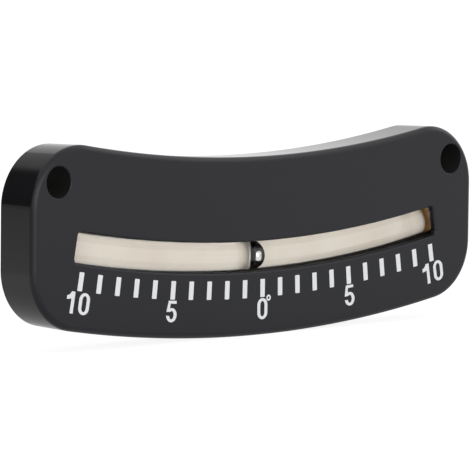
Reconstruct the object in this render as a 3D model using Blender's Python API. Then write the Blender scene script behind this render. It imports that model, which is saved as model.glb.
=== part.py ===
# Curved-tube inclinometer: a steel ball rolls in a bent, liquid-filled glass tube above a degree scale.
# Metres, +Z up, the scale faces -Y. The origin is the middle of the flat back.

import math

import bmesh
import bpy
from mathutils import Matrix, Vector

# Outline of the body, seen from the front
body_length = 0.1095
waist_height = 0.0321
top_edge_radius = 0.248
bottom_edge_radius = 0.278
top_corner_radius = 0.0108
bottom_corner_radius = 0.0107
front_round = 0.0011
side_draft = math.radians(1.6)

# Walls of the body and its rear cover
face_thickness = 0.0011
side_wall = 0.002
channel_wall = 0.0014
cover_thickness = 0.0012
cover_rim = 0.0012
fit_gap = 0.00025

# Ball, tube and what closes the tube
ball_diameter = 0.0035
ball_clearance = 0.0005
ball_reading = math.radians(0.3)
tube_wall = 0.00045
tube_overlap = 0.0034
plug_set_back = 0.00145
plug_chamfer = 0.0002
plug_head_length = 0.0012
plug_head_round = 0.0004
strip_thickness = 0.0005

# Window in the face
window_lap = 0.00004
window_end_margin = 0.01005
window_corner = 0.0007
window_flare = 0.0005
window_flare_depth = 0.001

# Scale printed on the face
scale_end_margin = 0.0109
scale_edge_distance = 0.0085
tube_to_scale = 0.00576
ticks_each_side = 10
tick_step = math.radians(1)
ticks_per_number = 5
tick_width = 0.0011
tick_length = 0.00326
ink_height = 0.0001
digit_gap = 0.0002
digit_height = 0.0038
digit_width = 0.0025
digit_spacing = 0.0011
digit_stem = 0.00073
digit_bar = 0.00052
one_width = 0.0018
digit_end_share = 0.32
degree_diameter = 0.0011
degree_stroke = 0.00032
degree_gap = 0.00015
degree_angle = math.radians(38)

# Mounting holes through body and cover
hole_diameter = 0.0055
hole_end_distance = 0.00575
hole_top_distance = 0.0062
hole_flare = 0.00025

# Screws of the rear cover
screw_diameter = 0.0018
screw_length = 0.005
screw_point = 0.0009
screw_head_diameter = 0.0034
screw_head_height = 0.0009
screw_drive_width = 0.00035
screw_drive_length = 0.0019
screw_drive_depth = 0.0005
screw_gap = 0.0002
boss_diameter = 0.0056
upper_screw_share = 0.52
lower_screw_share = 0.58

# Fineness of the meshes
edge_steps = 20
corner_steps = 6
round_steps = 24
crown_steps = 2
flare_steps = 3
bend_steps = 20
smooth_angle = math.radians(35)
merge_distance = 0.000001
overrun = 0.001

# Places and sizes that follow from those above
half_length = body_length / 2
bore_diameter = ball_diameter + 2 * ball_clearance
tube_diameter = bore_diameter + 2 * tube_wall
scale_radius = (half_length - scale_end_margin) / math.sin(ticks_each_side * tick_step)
tube_arc_radius = scale_radius - tube_to_scale
arc_centre_height = scale_radius + scale_edge_distance - waist_height / 2
window_height = tube_diameter - 2 * window_lap
ball_arc_radius = tube_arc_radius + ball_clearance - fit_gap
tube_depth = face_thickness + fit_gap + tube_diameter / 2
strip_depth = tube_depth + tube_diameter / 2 + fit_gap
body_depth = strip_depth + strip_thickness + cover_thickness
rear_inset = (body_depth - front_round) * math.tan(side_draft)
front_y = -body_depth
inner_face_y = front_y + face_thickness
recess_y = -cover_thickness - fit_gap
tube_y = front_y + tube_depth
window_half_angle = math.asin((half_length - window_end_margin) / tube_arc_radius)
tube_half_angle = window_half_angle + tube_overlap / tube_arc_radius
strip_half_angle = tube_half_angle + (fit_gap + plug_head_length) / tube_arc_radius
channel_half_angle = strip_half_angle + fit_gap / tube_arc_radius
channel_height = tube_diameter + 2 * fit_gap
upper_hollow = (
    arc_centre_height - waist_height / 2 + side_wall,
    tube_arc_radius - channel_height / 2 - channel_wall,
)
lower_hollow = (
    tube_arc_radius + channel_height / 2 + channel_wall,
    arc_centre_height + waist_height / 2 - side_wall,
)
number_middle_radius = scale_radius + tick_length / 2 + digit_gap + digit_height / 2


# A point at this distance from the arc's centre, this many radians to the right of straight down
def on_arc(radius, angle):
    return Vector((radius * math.sin(angle), arc_centre_height - radius * math.cos(angle)))


# Points of an ellipse's arc from one angle to another
def arc_points(centre, width, height, first, last, steps):
    angles = [first + (last - first) * step / steps for step in range(steps + 1)]
    return [centre + Vector((width * math.cos(a), height * math.sin(a))) for a in angles]


# The body's outline, drawn in by an inset: two bowed edges, upright ends and round corners
def body_outline(inset):
    half = half_length - inset
    upper_centre = Vector((0, waist_height / 2 + top_edge_radius))
    lower_centre = Vector((0, bottom_edge_radius - waist_height / 2))
    upper_radius = top_edge_radius + inset
    lower_radius = bottom_edge_radius - inset
    top_round = top_corner_radius - inset
    bottom_round = bottom_corner_radius - inset
    top_reach = upper_radius + top_round
    bottom_reach = lower_radius - bottom_round
    top_turn = math.asin((half - top_round) / top_reach)
    bottom_turn = math.asin((half - bottom_round) / bottom_reach)
    top_corner = upper_centre + top_reach * Vector((math.sin(top_turn), -math.cos(top_turn)))
    bottom_corner = lower_centre + bottom_reach * Vector((math.sin(bottom_turn), -math.cos(bottom_turn)))
    up, down = math.pi / 2, -math.pi / 2
    right = arc_points(top_corner, top_round, top_round, up + top_turn, up, crown_steps)[:-1]
    right += arc_points(top_corner, top_round, top_round, up, 0, corner_steps)
    right += arc_points(bottom_corner, bottom_round, bottom_round, 0, down + bottom_turn, corner_steps)
    left = [Vector((-point.x, point.y)) for point in reversed(right)]
    top = arc_points(upper_centre, upper_radius, upper_radius, down - top_turn, down + top_turn, edge_steps)
    bottom = arc_points(
        lower_centre, lower_radius, lower_radius, down + bottom_turn, down - bottom_turn, edge_steps
    )
    return top[1:-1] + right + bottom[1:-1] + left


# A rounded rectangle whose long sides follow the arc, made larger all round by a growth
def bent_slot(radius, middle, half_angle, height, corner, growth=0):
    rounding = corner + growth
    along = radius * half_angle + growth - rounding
    across = height / 2 + growth - rounding
    quarter = math.pi / 2
    points = []
    for turn, (side, rise) in enumerate(((1, 1), (-1, 1), (-1, -1), (1, -1))):
        centre = Vector((side * along, rise * across))
        points += arc_points(centre, rounding, rounding, turn * quarter, (turn + 1) * quarter, corner_steps)
        if side == rise:
            ends = [side * along * (1 - 2 * step / bend_steps) for step in range(1, bend_steps)]
            points += [Vector((end, rise * (across + rounding))) for end in ends]
    return [on_arc(radius - point.y, middle + point.x / radius) for point in points]


# Steps of a rounded edge at the face: how far it stands off the side, and how deep
def round_levels(width, depth):
    angles = [step * math.pi / 2 / flare_steps for step in range(flare_steps + 1)]
    return [(width * (1 - math.sin(a)), depth * (1 - math.cos(a))) for a in angles]


# Where the right-hand mounting hole goes, measured from the end and from the top of the corner
def right_hole_place():
    tallest = max(point.y for point in body_outline(0))
    return Vector((half_length - hole_end_distance, tallest - hole_top_distance))


# Where the four cover screws go, between the hollows above and below the tube
def screw_places():
    places = []
    for side in (-1, 1):
        for hollow, share in ((upper_hollow, upper_screw_share), (lower_hollow, lower_screw_share)):
            places.append(on_arc(sum(hollow) / 2, side * share * tube_half_angle))
    return places


def make_material(name, colour, roughness, metallic=0, transmission=0):
    material = bpy.data.materials.new(name)
    material.use_nodes = True
    shader = material.node_tree.nodes["Principled BSDF"]
    shader.inputs["Base Color"].default_value = (*colour, 1)
    shader.inputs["Roughness"].default_value = roughness
    shader.inputs["Metallic"].default_value = metallic
    shader.inputs["Transmission Weight"].default_value = transmission
    material.diffuse_color = (*colour, 1)
    return material


def make_object(name, mesh, material=None):
    made = bpy.data.objects.new(name, mesh)
    bpy.context.scene.collection.objects.link(made)
    if material and not mesh.materials:
        mesh.materials.append(material)
    return made


def place_in_front_plane(made, place, depth):
    made.location = (place.x, depth, place.y)


def finish_mesh(name, shape):
    bmesh.ops.recalc_face_normals(shape, faces=shape.faces)
    mesh = bpy.data.meshes.new(name)
    shape.to_mesh(mesh)
    shape.free()
    mesh.shade_smooth()
    mesh.set_sharp_from_angle(angle=smooth_angle)
    return mesh


# A solid through closed sections, each an outline in the front plane and its depth
def loft_mesh(name, sections):
    shape = bmesh.new()
    rings = [[shape.verts.new((point.x, depth, point.y)) for point in outline] for outline, depth in sections]
    for first, second in zip(rings, rings[1:]):
        for index in range(len(first)):
            before = index - 1
            shape.faces.new((first[before], first[index], second[index], second[before]))
    shape.faces.new(rings[0])
    shape.faces.new(rings[-1])
    return finish_mesh(name, shape)


# A flat ring of ink between two outlines with as many points each
def ring_mesh(name, outer, inner):
    shape = bmesh.new()
    rings = [[shape.verts.new((point.x, 0, point.y)) for point in outline] for outline in (outer, inner)]
    for index in range(len(outer)):
        before = index - 1
        shape.faces.new((rings[0][before], rings[0][index], rings[1][index], rings[1][before]))
    raised = bmesh.ops.extrude_face_region(shape, geom=shape.faces[:])
    moved = [item for item in raised["geom"] if isinstance(item, bmesh.types.BMVert)]
    bmesh.ops.translate(shape, verts=moved, vec=(0, -ink_height, 0))
    return finish_mesh(name, shape)


# A solid turned about the Y axis, from a profile of radius and depth with both ends on the axis
def turned_mesh(name, profile):
    shape = bmesh.new()
    points = [shape.verts.new((radius, depth, 0)) for radius, depth in profile]
    edges = [shape.edges.new(pair) for pair in zip(points, points[1:])]
    bmesh.ops.spin(
        shape,
        geom=points + edges,
        cent=(0, 0, 0),
        axis=(0, 1, 0),
        angle=2 * math.pi,
        steps=round_steps,
        use_merge=True,
    )
    bmesh.ops.remove_doubles(shape, verts=shape.verts, dist=merge_distance)
    return finish_mesh(name, shape)


def cut(target, tool):
    modifier = target.modifiers.new(tool.name, "BOOLEAN")
    modifier.operation = "DIFFERENCE"
    modifier.solver = "EXACT"
    modifier.object = tool


def make_cutter(name, mesh, targets):
    tool = make_object(name, mesh)
    tool.hide_render = True
    tool.display_type = "WIRE"
    for target in targets:
        cut(target, tool)
    return tool


# The body: a rounded front edge, sides that taper to the back, and a recess for the cover
def make_housing(material):
    levels = round_levels(front_round, front_round)
    sections = [(body_outline(inset), front_y + depth) for inset, depth in levels]
    sections.append((body_outline(rear_inset), 0))
    housing = make_object("front_housing", loft_mesh("front_housing", sections), material)
    recess = body_outline(rear_inset + cover_rim)
    mesh = loft_mesh("recess_cutter", [(recess, recess_y), (recess, overrun)])
    make_cutter("recess_cutter", mesh, [housing])
    return housing


# The window over the tube, which widens towards the front
def cut_window(housing):
    def window(growth):
        return bent_slot(tube_arc_radius, 0, window_half_angle, window_height, window_corner, growth)

    levels = round_levels(window_flare, window_flare_depth)
    sections = [(window(window_flare), front_y - overrun)]
    sections += [(window(growth), front_y + depth) for growth, depth in levels]
    sections.append((window(0), inner_face_y + overrun))
    make_cutter("window_cutter", loft_mesh("window_cutter", sections), [housing])


# The channel that holds the tube behind the face, open to the back
def cut_channel(housing):
    outline = bent_slot(tube_arc_radius, 0, channel_half_angle, channel_height, window_corner)
    mesh = loft_mesh("channel_cutter", [(outline, inner_face_y), (outline, recess_y + overrun)])
    make_cutter("channel_cutter", mesh, [housing])


# Hollows that leave even walls round the channel, the screw bosses and the mounting bosses
def cut_hollows(housing):
    hole = right_hole_place()
    hole_radius = (hole - Vector((0, arc_centre_height))).length
    hole_angle = math.asin(hole.x / hole_radius)
    upper_end = hole_angle - (hole_diameter / 2 + side_wall) / hole_radius
    lower_end = math.asin((half_length - bottom_corner_radius) / lower_hollow[1])
    rows = ((upper_hollow, upper_screw_share, upper_end), (lower_hollow, lower_screw_share, lower_end))
    for row, ((inner, outer), share, end) in enumerate(rows):
        radius = (inner + outer) / 2
        boss = share * tube_half_angle
        boss_angle = boss_diameter / 2 / radius
        side_middle = (boss + boss_angle + end) / 2
        side_half_angle = (end - boss - boss_angle) / 2
        spans = ((0, boss - boss_angle), (-side_middle, side_half_angle), (side_middle, side_half_angle))
        for column, (middle, half_angle) in enumerate(spans):
            outline = bent_slot(radius, middle, half_angle, outer - inner, window_corner)
            name = f"hollow_cutter_{row + 1}_{column + 1}"
            mesh = loft_mesh(name, [(outline, inner_face_y), (outline, recess_y + overrun)])
            make_cutter(name, mesh, [housing])


def make_cover(material):
    outline = body_outline(rear_inset + cover_rim + fit_gap)
    mesh = loft_mesh("rear_cover", [(outline, -cover_thickness), (outline, 0)])
    return make_object("rear_cover", mesh, material)


# Mounting holes through the body and the cover, with a rounded edge at the face
def cut_mounting_holes(housing, cover):
    radius = hole_diameter / 2
    levels = round_levels(hole_flare, hole_flare)
    profile = [(0, front_y - overrun), (radius + hole_flare, front_y - overrun)]
    profile += [(radius + growth, front_y + depth) for growth, depth in levels]
    profile += [(radius, overrun), (0, overrun)]
    mesh = turned_mesh("hole_cutter", profile)
    place = right_hole_place()
    for side, label in ((-1, "left"), (1, "right")):
        tool = make_cutter(f"hole_cutter_{label}", mesh, [housing, cover])
        place_in_front_plane(tool, Vector((side * place.x, place.y)), 0)


# Countersunk cover screws with a cross drive, each in a clear hole through the cover and into its boss
def make_cover_screws(housing, cover, material):
    shank = screw_diameter / 2
    head = screw_head_diameter / 2
    tip_y = -screw_length
    profile = [
        (0, 0),
        (head, 0),
        (shank, -screw_head_height),
        (shank, tip_y + screw_point),
        (0, tip_y),
    ]
    hole_profile = [
        (0, overrun),
        (head + screw_gap, overrun),
        (head + screw_gap, 0),
        (shank + screw_gap, -screw_head_height),
        (shank + screw_gap, tip_y - screw_gap),
        (0, tip_y - screw_gap),
    ]
    arm = screw_drive_length / 2
    half_width = screw_drive_width / 2
    quarter_outline = [Vector((half_width, arm)), Vector((half_width, half_width)), Vector((arm, half_width))]
    turns = [Matrix.Rotation(-quarter * math.pi / 2, 2) for quarter in range(4)]
    cross = [turn @ point for turn in turns for point in quarter_outline]
    screw_mesh = turned_mesh("cover_screw", profile)
    hole_mesh = turned_mesh("screw_hole_cutter", hole_profile)
    drive_mesh = loft_mesh("screw_drive_cutter", [(cross, -screw_drive_depth), (cross, overrun)])
    for number, place in enumerate(screw_places(), 1):
        screw = make_object(f"cover_screw_{number}", screw_mesh, material)
        drive = make_cutter(f"screw_drive_cutter_{number}", drive_mesh, [screw])
        hole = make_cutter(f"screw_hole_cutter_{number}", hole_mesh, [housing, cover])
        for made in (screw, drive, hole):
            place_in_front_plane(made, place, 0)


# A glass tube bent along the arc, open at both ends
def make_tube(material):
    shape = bmesh.new()
    rings = []
    for radius in (tube_diameter / 2, bore_diameter / 2):
        centre = Vector((tube_arc_radius, tube_y))
        section = arc_points(centre, radius, radius, 0, 2 * math.pi, round_steps)[:-1]
        places = [(on_arc(point.x, -tube_half_angle), point.y) for point in section]
        rings.append([shape.verts.new((place.x, depth, place.y)) for place, depth in places])
    for index in range(round_steps):
        before = index - 1
        shape.faces.new((rings[0][before], rings[0][index], rings[1][index], rings[1][before]))
    bmesh.ops.spin(
        shape,
        geom=shape.faces[:],
        cent=(0, 0, arc_centre_height),
        axis=(0, -1, 0),
        angle=2 * tube_half_angle,
        steps=bend_steps,
    )
    return make_object("glass_tube", finish_mesh("glass_tube", shape), material)


# The ball hangs from an empty at the arc's centre, which is the axis that it swings about
def make_ball(material):
    pivot = bpy.data.objects.new("ball_pivot", None)
    bpy.context.scene.collection.objects.link(pivot)
    pivot.location = (0, tube_y, arc_centre_height)
    shape = bmesh.new()
    bmesh.ops.create_uvsphere(
        shape, u_segments=round_steps, v_segments=round_steps // 2, radius=ball_diameter / 2
    )
    ball = make_object("steel_ball", finish_mesh("steel_ball", shape), material)
    ball.parent = pivot
    place_in_front_plane(ball, on_arc(ball_arc_radius, ball_reading) - Vector((0, arc_centre_height)), 0)
    return ball


# Resin plugs that seal the tube: a stem inside the bore and a head over the tube's end
def make_end_plugs(material):
    stem_radius = bore_diameter / 2 - fit_gap
    head_radius = tube_diameter / 2
    stem_end = plug_set_back - tube_overlap
    head_end = fit_gap + plug_head_length
    centre = Vector((head_radius - plug_head_round, head_end - plug_head_round))
    rounded = arc_points(centre, plug_head_round, plug_head_round, 0, math.pi / 2, flare_steps)
    profile = [
        (0, stem_end),
        (stem_radius - plug_chamfer, stem_end),
        (stem_radius, stem_end + plug_chamfer),
        (stem_radius, fit_gap),
        (head_radius, fit_gap),
    ]
    profile += [(point.x, point.y) for point in rounded] + [(0, head_end)]
    mesh = turned_mesh("end_plug", profile)
    for side, label in ((-1, "left"), (1, "right")):
        plug = make_object(f"end_plug_{label}", mesh, material)
        place_in_front_plane(plug, on_arc(tube_arc_radius, side * tube_half_angle), tube_y)
        plug.rotation_mode = "ZYX"
        plug.rotation_euler = (0, -side * tube_half_angle, -side * math.pi / 2)


def make_backing_strip(material):
    outline = bent_slot(tube_arc_radius, 0, strip_half_angle, tube_diameter, window_corner)
    rear_y = front_y + strip_depth + strip_thickness
    mesh = loft_mesh("backing_strip", [(outline, front_y + strip_depth), (outline, rear_y)])
    return make_object("backing_strip", mesh, material)


# Outline of a 1: a stem at the right and a short flag that slopes down to the left
def one_outline():
    flag_shares = ((1, 1), (0.55, 1), (0.42, 0.91), (0, 0.79), (0, 0.63))
    under_share = 0.68
    stem_left = one_width - digit_stem
    flag = [Vector((one_width * across, digit_height * up)) for across, up in flag_shares]
    stem = [Vector((stem_left, digit_height * under_share)), Vector((stem_left, 0)), Vector((one_width, 0))]
    return flag + stem


# Outline of a 5: a bar, a short leaning stem and an open bowl
def five_outline():
    bar_left_share, bar_right_share, stem_foot_share, bowl_share, root_share = 0.16, 0.92, 0.48, 0.33, 0.05
    outer_start, outer_end = math.radians(112), math.radians(-176)
    inner_start, inner_end = math.radians(-168), math.radians(125)
    bowl_height = digit_height * bowl_share
    centre = Vector((digit_width / 2, bowl_height))
    outer = arc_points(centre, centre.x, bowl_height, outer_start, outer_end, 2 * corner_steps)
    inner_width = centre.x - digit_stem
    inner_height = bowl_height - digit_bar
    inner = arc_points(centre, inner_width, inner_height, inner_start, inner_end, 2 * corner_steps)
    foot = digit_height * stem_foot_share
    head = [
        Vector((digit_stem, foot)),
        Vector((0, foot)),
        Vector((digit_width * bar_left_share, digit_height)),
        Vector((digit_width * bar_right_share, digit_height)),
        Vector((digit_width * bar_right_share, digit_height - digit_bar)),
        Vector((outer[0].x + digit_width * root_share, digit_height - digit_bar)),
    ]
    return outer + inner + head


# Outer or inner outline of a 0, drawn in by the widths of its stem and bar
def zero_outline(stem=0, bar=0):
    width = digit_width / 2 - stem
    height = digit_height * digit_end_share - bar
    middle = digit_width / 2
    low = Vector((middle, digit_height * digit_end_share))
    high = Vector((middle, digit_height * (1 - digit_end_share)))
    top = arc_points(high, width, height, 0, math.pi, 2 * corner_steps)
    return top + arc_points(low, width, height, math.pi, 2 * math.pi, 2 * corner_steps)


def ink_plate(name, outline):
    return loft_mesh(name, [(outline, -ink_height), (outline, 0)])


# Each digit's mesh and width, with the corner of the digit's cell as its origin
def digit_shapes():
    zero = ring_mesh("digit_0", zero_outline(), zero_outline(digit_stem, digit_bar))
    return {
        "0": (zero, digit_width),
        "1": (ink_plate("digit_1", one_outline()), one_width),
        "5": (ink_plate("digit_5", five_outline()), digit_width),
    }


def side_name(step):
    return "centre" if step == 0 else "left" if step < 0 else "right"


# One bar of ink for each degree
def make_ticks(material):
    half = tick_width / 2
    low, high = -scale_radius - tick_length / 2, -scale_radius + tick_length / 2
    corners = [Vector((-half, low)), Vector((half, low)), Vector((half, high)), Vector((-half, high))]
    mesh = ink_plate("scale_tick", corners)
    for step in range(-ticks_each_side, ticks_each_side + 1):
        tick = make_object(f"scale_tick_{side_name(step)}_{abs(step):02d}", mesh, material)
        tick.location = (0, front_y, arc_centre_height)
        tick.rotation_euler = (0, -step * tick_step, 0)


# Numbers under every fifth tick, upright along the spokes of the arc
def make_numbers(material):
    shapes = digit_shapes()
    for step in range(-ticks_each_side, ticks_each_side + 1):
        if step % ticks_per_number:
            continue
        digits = str(abs(step))
        angle = step * tick_step
        widths = [shapes[digit][1] for digit in digits]
        start = -(sum(widths) + digit_spacing * (len(digits) - 1)) / 2
        for order, digit in enumerate(digits, 1):
            name = f"number_{side_name(step)}_{digits}_digit_{order}"
            made = make_object(name, shapes[digit][0], material)
            offset = Matrix.Rotation(angle, 2) @ Vector((start, -digit_height / 2))
            place_in_front_plane(made, on_arc(number_middle_radius, angle) + offset, front_y)
            made.rotation_euler = (0, -angle, 0)
            start += widths[order - 1] + digit_spacing


# A small ring to the upper right of the middle number
def make_degree_ring(material):
    radius = degree_diameter / 2
    hole = radius - degree_stroke
    outer = arc_points(Vector((0, 0)), radius, radius, 0, 2 * math.pi, round_steps)[:-1]
    inner = arc_points(Vector((0, 0)), hole, hole, 0, 2 * math.pi, round_steps)[:-1]
    ring = make_object("degree_ring", ring_mesh("degree_ring", outer, inner), material)
    top_centre = on_arc(number_middle_radius - digit_height * (1 / 2 - digit_end_share), 0)
    reach = digit_width / 2 + degree_gap + radius
    offset = reach * Vector((math.cos(degree_angle), math.sin(degree_angle)))
    place_in_front_plane(ring, top_centre + offset, front_y)


def clear_scene():
    for existing in list(bpy.data.objects):
        bpy.data.objects.remove(existing, do_unlink=True)


def make_inclinometer():
    clear_scene()
    black = make_material("black_plastic", (0.035, 0.035, 0.038), 0.35)
    cover_black = make_material("cover_plastic", (0.03, 0.03, 0.032), 0.5)
    steel = make_material("polished_steel", (0.62, 0.62, 0.62), 0.12, metallic=1)
    zinc = make_material("zinc_steel", (0.6, 0.6, 0.58), 0.3, metallic=1)
    glass = make_material("clear_glass", (0.95, 0.97, 0.95), 0.02, transmission=1)
    resin = make_material("amber_resin", (0.35, 0.2, 0.06), 0.25)
    cream = make_material("cream_plastic", (0.78, 0.72, 0.6), 0.6)
    white = make_material("white_ink", (0.85, 0.86, 0.88), 0.5)
    housing = make_housing(black)
    cut_channel(housing)
    cut_hollows(housing)
    cut_window(housing)
    cover = make_cover(cover_black)
    cut_mounting_holes(housing, cover)
    make_cover_screws(housing, cover, zinc)
    make_tube(glass)
    make_ball(steel)
    make_end_plugs(resin)
    make_backing_strip(cream)
    make_ticks(white)
    make_numbers(white)
    make_degree_ring(white)


make_inclinometer()
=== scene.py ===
# Curved-tube inclinometer: the housing, scale, tube, ball and back, dressed for a close look.
# Metres, +Z up, the scale faces -Y, the flat back is at Y = 0.

import math

import bmesh
import bpy
from mathutils import Matrix, Vector


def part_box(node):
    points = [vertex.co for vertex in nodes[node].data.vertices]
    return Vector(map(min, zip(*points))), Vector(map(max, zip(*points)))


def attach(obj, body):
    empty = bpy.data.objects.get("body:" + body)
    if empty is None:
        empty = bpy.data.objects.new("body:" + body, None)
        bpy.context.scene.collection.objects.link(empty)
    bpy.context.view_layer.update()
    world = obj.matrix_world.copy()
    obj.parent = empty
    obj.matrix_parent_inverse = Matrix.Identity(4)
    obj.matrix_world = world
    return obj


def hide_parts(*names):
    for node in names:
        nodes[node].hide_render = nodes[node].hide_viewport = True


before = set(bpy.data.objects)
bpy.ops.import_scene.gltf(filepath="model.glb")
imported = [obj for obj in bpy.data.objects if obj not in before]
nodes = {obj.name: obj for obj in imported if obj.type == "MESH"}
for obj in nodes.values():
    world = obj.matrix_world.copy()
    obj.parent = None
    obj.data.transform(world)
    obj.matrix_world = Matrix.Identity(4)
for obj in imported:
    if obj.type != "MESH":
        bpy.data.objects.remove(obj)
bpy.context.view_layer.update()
print("frame loaded:", len(nodes), "nodes")

scene = bpy.context.scene
scene.view_settings.view_transform = "Standard"


# Camera, at the photo's angle and framing
cameraSet = {
    "place": (-0.53055532, -0.5460194, 0.06952093),
    "yaw": math.radians(44.2554),  # to the right of straight at the scale
    "pitch": math.radians(5.1173),  # downwards
    "roll": math.radians(0.6466),
    "lens": 324.919,
    "sensor": 36,
    "nearest": 0.01,
}


def makeCamera(opts):
    yaw, pitch, roll = opts["yaw"], opts["pitch"], opts["roll"]
    ahead = Vector((math.sin(yaw) * math.cos(pitch), math.cos(yaw) * math.cos(pitch), -math.sin(pitch)))
    levelRight = Vector((math.cos(yaw), -math.sin(yaw), 0))
    levelUp = levelRight.cross(ahead)
    right = math.cos(roll) * levelRight + math.sin(roll) * levelUp
    up = -math.sin(roll) * levelRight + math.cos(roll) * levelUp
    data = bpy.data.cameras.new("viewCamera")
    data.lens = opts["lens"]
    data.sensor_width = opts["sensor"]
    data.clip_start = opts["nearest"]
    camera = bpy.data.objects.new("viewCamera", data)
    scene.collection.objects.link(camera)
    turn = Matrix((right, up, -ahead)).transposed()
    camera.matrix_world = Matrix.Translation(opts["place"]) @ turn.to_4x4()
    scene.camera = camera


makeCamera(cameraSet)
print("camera placed")


# Shader workbench
class Wire:
    # one value in a shader tree; arithmetic on it adds Math nodes
    def __init__(self, bench, socket):
        self.bench = bench
        self.socket = socket

    def __add__(self, other):
        return self.bench.maths("ADD", self, other)

    def __radd__(self, other):
        return self.bench.maths("ADD", other, self)

    def __sub__(self, other):
        return self.bench.maths("SUBTRACT", self, other)

    def __rsub__(self, other):
        return self.bench.maths("SUBTRACT", other, self)

    def __mul__(self, other):
        return self.bench.maths("MULTIPLY", self, other)


class Bench:
    # the shader tree of a material or a world, under construction
    def __init__(self, owner):
        owner.use_nodes = True
        self.owner = owner
        self.tree = owner.node_tree
        self.tree.nodes.clear()
        self.place = self.add("ShaderNodeTexCoord", out="Object")

    def add(self, kind, settings=None, sockets=None, out=0):
        node = self.tree.nodes.new(kind)
        for key, value in (settings or {}).items():
            setattr(node, key, value)
        for key, value in (sockets or {}).items():
            target = self.find(node.inputs, key)
            if isinstance(value, Wire):
                self.tree.links.new(value.socket, target)
            else:
                target.default_value = value
        return Wire(self, self.find(node.outputs, out)) if node.outputs else None

    def find(self, sockets, key):
        if isinstance(key, int):
            return sockets[key]
        for socket in sockets:
            if socket.identifier == key or (socket.name == key and socket.enabled):
                return socket
        raise KeyError(key)

    def maths(self, operation, first, second=0.0):
        return self.add("ShaderNodeMath", {"operation": operation}, {0: first, 1: second})

    def range(self, value, low, high, fromLow=0.0, fromHigh=1.0, smooth=False):
        style = "SMOOTHSTEP" if smooth else "LINEAR"
        return self.add(
            "ShaderNodeMapRange",
            {"interpolation_type": style},
            {"Value": value, "From Min": fromLow, "From Max": fromHigh, "To Min": low, "To Max": high},
        )

    def noise(self, scale, detail=2.0, rough=0.5, where=None):
        return self.add(
            "ShaderNodeTexNoise",
            sockets={"Vector": where or self.place, "Scale": scale, "Detail": detail, "Roughness": rough},
            out="Fac",
        )

    def blend(self, amount, first, second):
        return self.add(
            "ShaderNodeMix",
            {"data_type": "RGBA"},
            {"Factor_Float": amount, "A_Color": first, "B_Color": second},
            out="Result_Color",
        )

    def split(self, vector, axis):
        return self.add("ShaderNodeSeparateXYZ", sockets={"Vector": vector}, out=axis)

    def stretch(self, scale, turn=(0, 0, 0)):
        sockets = {"Vector": self.place, "Scale": scale, "Rotation": turn}
        return self.add("ShaderNodeMapping", sockets=sockets)

    def bump(self, height, distance):
        return self.add("ShaderNodeBump", sockets={"Height": height, "Distance": distance}, out="Normal")

    def principled(self, sockets):
        return self.add("ShaderNodeBsdfPrincipled", sockets=sockets)

    def mix(self, amount, first, second):
        return self.add("ShaderNodeMixShader", sockets={0: amount, 1: first, 2: second})

    def finish(self, shader, kind="ShaderNodeOutputMaterial"):
        self.add(kind, sockets={"Surface": shader})
        return self.owner


def newMaterial(name, preview):
    material = bpy.data.materials.new(name)
    material.diffuse_color = (*preview, 1)
    return Bench(material)


# Materials; a noise is given by its scale, detail and roughness
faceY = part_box("front_housing")[0].y
plasticSet = {
    "preview": (0.03, 0.03, 0.034),
    "faceColour": (0.0035, 0.0035, 0.0075, 1),
    "sideColour": (0.0115, 0.0115, 0.0125, 1),
    "wornColour": (0.007, 0.007, 0.0105, 1),
    "wornAmount": 0.18,
    "wornRange": (0.35, 0.75),
    "faceRoughness": 0.42,
    "sideRoughness": 0.1,
    "lipGloss": 0.15,  # how much of the sides' gloss the lips of the window have
    "grain": (5200, 3, 0.6),  # fine spark texture of the face
    "grainDepth": 0.0000035,
    "flow": (38, 2, 0.5),
    "flowSpread": 0.05,
    "handling": (240, 4, 0.65),
    "handlingSpread": (0.06, 0.05),  # on the face and on the sides
    "waves": (90, 1, 0.5),  # of the polished sides
    "waveHeight": 1.5,
    "satinDepth": 0.00045,  # how far below the face the satin starts to fade
    "glossDepth": 0.00115,
    "ior": 1.41,
}


def makePlastic(name, opts, glossiest):
    b = newMaterial(name, opts["preview"])
    depth = b.split(b.place, "Y") - faceY
    gloss = b.range(depth, 0, glossiest, opts["satinDepth"], opts["glossDepth"], smooth=True)
    grain = b.noise(*opts["grain"])
    flow = b.noise(*opts["flow"])
    handling = b.noise(*opts["handling"])
    faceSpread, sideSpread = opts["handlingSpread"]
    satin = opts["faceRoughness"] + (flow - 0.5) * opts["flowSpread"] + (handling - 0.5) * faceSpread
    shine = opts["sideRoughness"] + (handling - 0.5) * sideSpread
    colour = b.blend(gloss, opts["faceColour"], opts["sideColour"])
    worn = b.range(flow, 0, opts["wornAmount"], *opts["wornRange"])
    height = grain * (1 - gloss) + b.noise(*opts["waves"]) * gloss * opts["waveHeight"]
    shader = b.principled(
        {
            "Base Color": b.blend(worn, colour, opts["wornColour"]),
            "Roughness": satin * (1 - gloss) + shine * gloss,
            "IOR": opts["ior"],
            "Normal": b.bump(height, opts["grainDepth"]),
        }
    )
    return b.finish(shader)


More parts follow.
